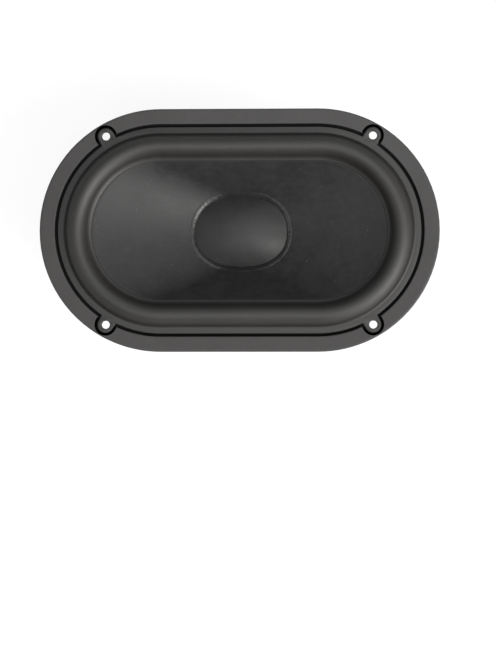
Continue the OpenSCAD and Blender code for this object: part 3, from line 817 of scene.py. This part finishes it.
def cone_share(x, y):
    """How far a point lies from the cone's neck, 0, to its edge, 1."""
    dr = LAP_R - NECK_R
    t = (abs(y) - NECK_R) / dr
    if abs(x) <= END_X * t:
        return t
    a = END_X ** 2 - dr ** 2
    b = 2 * (END_X * abs(x) + NECK_R * dr)
    c = x * x + y * y - NECK_R ** 2
    return (b - math.sqrt(max(0.0, b * b - 4 * a * c))) / (2 * a)


def cone_height(t):
    return LAP_Z - CONE_H + CONE_H * max(0.0, t) ** CONE_RISE


def cone_z(x, y):
    return cone_height(cone_share(x, y))


def make_cone():
    """The cone: flat rim, curved wall and round neck, closed front and back."""
    cone = Build()
    shares = [(k / 44) ** 1.15 for k in range(45)]
    front = [oval(NECK_R + (LAP_R - NECK_R) * t, cone_height(t), END_X * t) for t in reversed(shares)]
    back = [[(x, y, z - CONE_T) for x, y, z in row] for row in reversed(front)]
    cone.rows([
        oval(CONE_RIM_R, LAP_Z), *front[:-1],
        oval(NECK_IN_R + 0.2, cone_height(0) + 0.1, 0), oval(NECK_IN_R, cone_height(0) - 0.3, 0),
        oval(NECK_IN_R, NECK_LOW_Z, 0), oval(NECK_OUT_R, NECK_LOW_Z, 0),
        oval(NECK_OUT_R, cone_height(0) - CONE_T - 0.2, 0), *back[1:],
        oval(CONE_RIM_R, LAP_Z - CONE_T)
    ], loop=True)
    return cone.make("cone_moulded", 50)


def cap_outline(count):
    """Points and outward directions round the cap's foot: a full ellipse."""
    a, b = CAP_R + CAP_S - 0.5, CAP_R - 0.5
    pts = []
    for i in range(count):
        turn = 2 * math.pi * i / count
        c, s = math.cos(turn), math.sin(turn)
        x = a * math.copysign(abs(c) ** (2 / CAP_FULL), c)
        y = b * math.copysign(abs(s) ** (2 / CAP_FULL), s)
        nx = math.copysign(abs(x / a) ** (CAP_FULL - 1) / a, x)
        ny = math.copysign(abs(y / b) ** (CAP_FULL - 1) / b, y)
        length = math.hypot(nx, ny)
        pts.append((x, y, nx / length, ny / length))
    return pts


def cap_foot():
    return [(x, y, cone_z(x, y) + 0.1) for x, y, _, _ in cap_outline(144)]


def make_dust_cap():
    """The cap: a thin dome whose foot follows the cone."""
    cap = Build()
    top = cone_z(CAP_R + CAP_S, 0) + CAP_H
    foot = cap_foot()

    def dome(share, drop):
        return [(x * share, y * share, top + (z - top) * share ** 2 - drop) for x, y, z in foot]

    shares = [1 - k / 30 for k in range(30)]
    tip = 0.02
    outer = [dome(s, 0) for s in shares] + [dome(tip, 0)]
    inner = [dome(s * 0.985, CAP_T) for s in shares] + [dome(tip, CAP_T)]
    cap.rows([*reversed(outer), *inner])
    cap.add(outer[-1], [tuple(range(len(foot)))])
    cap.add(inner[-1], [tuple(range(len(foot)))])
    return cap.make("dust_cap_dome", 50)


def wander(x, y, size, seed):
    """Smooth noise from -1 to 1 at a point, size mm wide; each seed gives another, always the same."""
    return noise.noise(Vector((x / size, y / size, seed * 7.31)))


def make_bead():
    """The thick glue run by hand round the cap's foot: its width and height wander a little."""
    bead = Build()
    lanes = 12
    rows = []
    for k in range(lanes + 1):
        u = 0.5 - 0.5 * math.cos(math.pi * k / lanes)
        row = []
        for x, y, nx, ny in cap_outline(360):
            outer = BEAD_OUT + 0.3 * wander(x, y, 7, 1) + 0.22 * wander(x, y, 1.9, 2)
            out = BEAD_IN + (outer - BEAD_IN) * u
            px, py = x + nx * out, y + ny * out
            high = 0.42 + 0.1 * wander(x, y, 5, 3) + 0.13 * wander(px, py, 1.3, 4)
            high *= math.sin(math.pi * u) ** 0.75
            row.append((px, py, cone_z(px, py) + 0.04 + high))
        rows.append(row)
    under = [[(x, y, cone_z(x, y) + 0.02) for x, y, _ in row] for row in (rows[-1], rows[0])]
    bead.rows([*rows, *under], loop=True)
    return bead.make("dust_cap_glue", 60)


# ---- voice coil and spider ----

def make_winding():
    """The winding: every turn of its wire a small ridge."""
    winding = Build()
    turns, across = 46, 4         # turns of wire, and points over each
    inner, wire = FORMER_R + 0.05, COIL_R - FORMER_R - 0.05
    pitch = (COIL_TOP - COIL_LOW) / turns
    ridges = [(inner + wire * (0.7 + 0.3 * abs(math.sin(math.pi * j / across))),
               COIL_LOW + pitch * j / across) for j in range(turns * across + 1)]
    winding.rows(lathe([*ridges, (FORMER_R, COIL_TOP), (FORMER_R, COIL_LOW)], 120), loop=True)
    return winding.make("coil_winding_turns", 80)


def spider_height(r):
    """Middle of the cloth at a radius: flat outside, waves, then the collar."""
    share = (SPIDER_FLAT_R - r) / (SPIDER_FLAT_R - SPIDER_NECK_R)
    if share <= 0:
        return 0.0
    return SPIDER_AMP * math.sin(2 * math.pi * SPIDER_WAVES * min(share, 1.0)) * ease(share * 8)


def make_spider():
    """The corrugated cloth disc, turned up into a collar on the former."""
    spider = Build()
    count = 110                   # points from the rim to the neck
    radii = [SPIDER_R - (SPIDER_R - SPIDER_NECK_R) * k / count for k in range(count + 1)]
    base = SPIDER_Z
    collar_top, collar_in = -25.6, 18.08
    top = [(r, base + SPIDER_T + spider_height(r)) for r in radii]
    low = [(r, base + spider_height(r)) for r in reversed(radii)]
    profile = [
        *top, (19.2, base + SPIDER_T + 0.12), (18.8, base + SPIDER_T + 0.4), (18.66, collar_top),
        (collar_in, collar_top), (collar_in, base), *low
    ]
    spider.rows(lathe(profile, 168), loop=True)
    return spider.make("spider_cloth_disc", 60)


def make_fillet():
    """Glue round the spider's edge, laid by hand on its rim."""
    fillet = Build()
    rows = []
    for k in range(8):
        u = k / 7
        row = []
        for x, y, _ in circle(0, 0, 1, 0, 160):
            wide = 1.5 + 0.45 * wander(x * SPIDER_R, y * SPIDER_R, 6, 9)
            r = SPIDER_R + 0.15 - wide * u
            high = 0.65 * math.sin(math.pi * (0.5 + 0.5 * u)) ** 0.8
            row.append((x * r, y * r, SPIDER_Z + SPIDER_T + 0.02 + high))
        rows.append(row)
    under = [[(x, y, SPIDER_Z + SPIDER_T + 0.01) for x, y, _ in row] for row in (rows[-1], rows[0])]
    fillet.rows([*rows, *under], loop=True)
    return fillet.make("spider_glue", 60)


# ---- motor glue, leads ----

def make_squeeze_out():
    """Pale structural glue that the top plate and the magnet squeezed out between them."""
    glue = Build()
    rows = []
    for k in range(9):
        u = k / 8
        row = []
        for x, y, _ in circle(0, 0, 1, 0, 240):
            px, py = x * PLATE_R, y * PLATE_R
            wide = max(0.25, 1.0 + 0.6 * wander(px, py, 9, 5) + 0.35 * wander(px, py, 2.6, 6))
            high = max(0.2, 0.9 + 0.5 * wander(px, py, 5, 7) + 0.3 * wander(px, py, 1.8, 8))
            a = math.pi / 2 * u
            r = PLATE_R - 0.02 + wide * math.sin(a)
            row.append((x * r, y * r, MAGNET_Z + 0.02 + high * math.cos(a)))
        rows.append(row)

    def tucked(x, y, z):
        """A point moved in under the top plate's edge."""
        share = (PLATE_R - 0.3) / math.hypot(x, y)
        return x * share, y * share, z

    low = [tucked(x, y, MAGNET_Z + 0.02) for x, y, _ in rows[0]]
    glue.rows([*rows, low, [tucked(*p) for p in rows[0]]], loop=True)
    return glue.make("magnet_glue", 60)


# the route of one lead, from its tag through the bowl to the coil's wire; the other is its mirror
LEAD = [
    (61.7, 6.5, -25.4), (59.5, 6.5, -25.4), (57, 6.5, -25.4), (54.5, 6.5, -25.3),
    (52.2, 6.5, -24.7), (50.2, 6.5, -23.6), (48.2, 6.5, -22.2), (45.8, 6.4, -20.8),
    (43, 6.3, -19.7), (40, 6.2, -19.1), (37, 6, -19), (34, 5.8, -19.4),
    (31, 5.6, -20.3), (28.8, 5.4, -20.9), (27, 5.3, -21.15), (25.6, 5.2, -21.2)
]


def make_lead(name, side):
    """A tinsel lead: strands laid round each other along the route."""
    lead = Build()
    centre = smooth_route([(x, side * y, z) for x, y, z in LEAD], 9)
    strands, lay = 6, 5.2         # count, and mm along the lead for one turn
    strand_r = 0.235
    for k in range(strands):
        route, run = [], 0.0
        for i, p in enumerate(centre):
            if i:
                run += (p - centre[i - 1]).length
            along = (centre[min(i + 1, len(centre) - 1)] - centre[max(i - 1, 0)]).normalized()
            u = along.cross(Vector((0, 1, 0))).normalized()
            v = along.cross(u)
            a = 2 * math.pi * (k / strands + run / lay)
            route.append(p + (LEAD_R - strand_r) * (u * math.cos(a) + v * math.sin(a)))
        sweep(lead, route, strand_r, 6)
    return lead.make(name, 80)


# ---- the pieces, what they ride on and what they stand for ----

def stand_for(obj, body, paints, *cad, slot=None):
    """Paints a piece unless it is painted, sets what it rides on, and hides the CAD nodes it stands for."""
    if len(paints) != len(obj.data.materials):
        dress(obj, *paints)
    if body:
        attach(obj, body)
    if cad:
        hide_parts(*cad)


FRAME, MOVING = "frame", "moving_assembly"

stand_for(make_basket(), FRAME, ["basket_plastic", "channel_shade"], "basket")
stand_for(make_trim_ring(), FRAME, ["ring_plastic"], "trim_ring")
stand_for(make_cone(), MOVING, ["cone_sheet"], "cone")
stand_for(make_dust_cap(), MOVING, ["cap_sheet"], "dust_cap")
stand_for(make_bead(), MOVING, ["black_glue"], "dust_cap_bead")
stand_for(make_winding(), MOVING, ["copper_wire"], "coil_winding")
stand_for(make_fillet(), FRAME, ["black_glue"], "glue_fillet")
stand_for(make_squeeze_out(), FRAME, ["clear_glue"], slot="zinc_plate")


def oval_reach(x, y):
    """Distance from the line between the two end centres."""
    return math.hypot(max(0.0, abs(x) - END_X), y)


surround = make_surround()
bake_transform(surround, MOVING, FRAME, start=(0, -ROLL_IN * MM, 0), end=(0, -ROLL_OUT * MM, 0))
bend_weights(surround, lambda x, y, z: ease((oval_reach(x, y) - ROLL_IN) / (ROLL_OUT - ROLL_IN)))
stand_for(surround, None, ["surround_rubber"], "surround")

spider = make_spider()
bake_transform(spider, MOVING, FRAME, start=(SPIDER_NECK_R * MM, 0, 0), end=(SPIDER_FLAT_R * MM, 0, 0))
bend_weights(spider, lambda x, y, z: ease((math.hypot(x, y) - SPIDER_NECK_R)
                                          / (SPIDER_FLAT_R - SPIDER_NECK_R)))
stand_for(spider, None, ["spider_cloth"], "spider")

for name, cad, side in (("tinsel_wide", "lead_wide", 1), ("tinsel_narrow", "lead_narrow", -1)):
    lead = make_lead(name, side)
    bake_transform(lead, MOVING, FRAME, start=(0.027, 0, 0), end=(0.0545, 0, 0))
    stand_for(lead, None, ["lead_braid"], cad)

# the CAD nodes that show: their paint, and the width of their rounded edges, 0 for none
CAD_PAINTS = {
    "coil_former": ("former_film", 0.0),
    "coil_wires": ("copper_wire", 0.0),
    "coil_solder": ("solder", 0.0),
    "top_plate": ("zinc_plate", 0.0),
    "magnet": ("ferrite", 0.25),
    "pole_yoke": ("zinc_yoke", 0.3),
    "motor_screws": ("screw_steel", 0.15),
    "terminal_board": ("board_laminate", 0.15),
    "terminal_tab_wide": ("tinned_tab", 0.12),
    "terminal_tab_narrow": ("tinned_tab", 0.12),
    "board_rivet": ("rivet_metal", 0.2),
    "tab_rivets": ("rivet_metal", 0.15),
    "tag_solder": ("solder", 0.0),
}
for name, (paint, edge) in CAD_PAINTS.items():
    dress(nodes[name], paint)
    if edge:
        nodes[name].modifiers.new("weld", "WELD").merge_threshold = 0.002 * MM
        bevel(nodes[name], edge, 3, 35, harden=True)

# ---- studio ----

FLOOR_REACH = 4000
FLOOR_Z = cad_box[0].z / MM - 0.05  # just under the object
corners = ((-1, -1), (1, -1), (1, 1), (-1, 1))
table = Build()
table.add([(x * FLOOR_REACH, y * FLOOR_REACH, FLOOR_Z) for x, y in corners], [(0, 1, 2, 3)])
floor = table.make("floor")
paper = Paint("floor_paper")      # translucent, lit from below as well
floor.data.materials.append(paper.finish(
    Base_Color=paper.ramp(paper.noise(9, 3), (0.3, 0.2), (0.7, 0.22)), Roughness=0.9,
    Specular_IOR_Level=0.1, Emission_Color=(1, 1, 1), Emission_Strength=0.86))

scene = bpy.context.scene
world = bpy.data.worlds.new("studio")
scene.world = world
world.use_nodes = True
sky = world.node_tree.nodes["Background"].inputs
sky["Color"].default_value = (0.96, 0.98, 1, 1)
ray = world.node_tree.nodes.new("ShaderNodeLightPath")
seen = world.node_tree.nodes.new("ShaderNodeMapRange")  # a white backdrop, dimmer where it only lights
seen.inputs["To Min"].default_value = 0.12
seen.inputs["To Max"].default_value = 1.0
world.node_tree.links.new(ray.outputs["Is Camera Ray"], seen.inputs["Value"])
world.node_tree.links.new(seen.outputs["Result"], sky["Strength"])


def softbox(name, turn, height, spread, power, colour):
    """A wide far light at a compass turn (0 is +X, 90 is +Y), height and spread in degrees."""
    light = bpy.data.lights.new(name, "SUN")
    light.angle = math.radians(spread)
    light.energy = power
    light.color = colour
    obj = bpy.data.objects.new(name, light)
    t, h = math.radians(turn), math.radians(height)
    away = Vector((math.cos(t) * math.cos(h), math.sin(t) * math.cos(h), math.sin(h)))
    obj.location = away
    obj.rotation_euler = away.to_track_quat("Z", "Y").to_euler()
    scene.collection.objects.link(obj)


softbox("key", -30, 42, 36, 1.92, (1, 0.985, 0.965))
softbox("overhead", -70, 74, 46, 0.85, (0.98, 0.99, 1))
softbox("front", -42, 13, 50, 1.5, (1, 0.98, 0.96))
softbox("fill", 190, 42, 40, 0.36, (1, 0.98, 0.96))

top_box = bpy.data.lights.new("top_box", "AREA")  # near the object, so its light falls off across it
top_box.size = 0.36
top_box.energy = 0.58
top_box.color = (0.98, 0.99, 1)
lamp = bpy.data.objects.new("top_box", top_box)
lamp.location = (0.12, 0.25, 0.42)
lamp.visible_camera = False
lamp.rotation_euler = lamp.location.to_track_quat("Z", "Y").to_euler()
scene.collection.objects.link(lamp)

scene.view_settings.view_transform = "Standard"
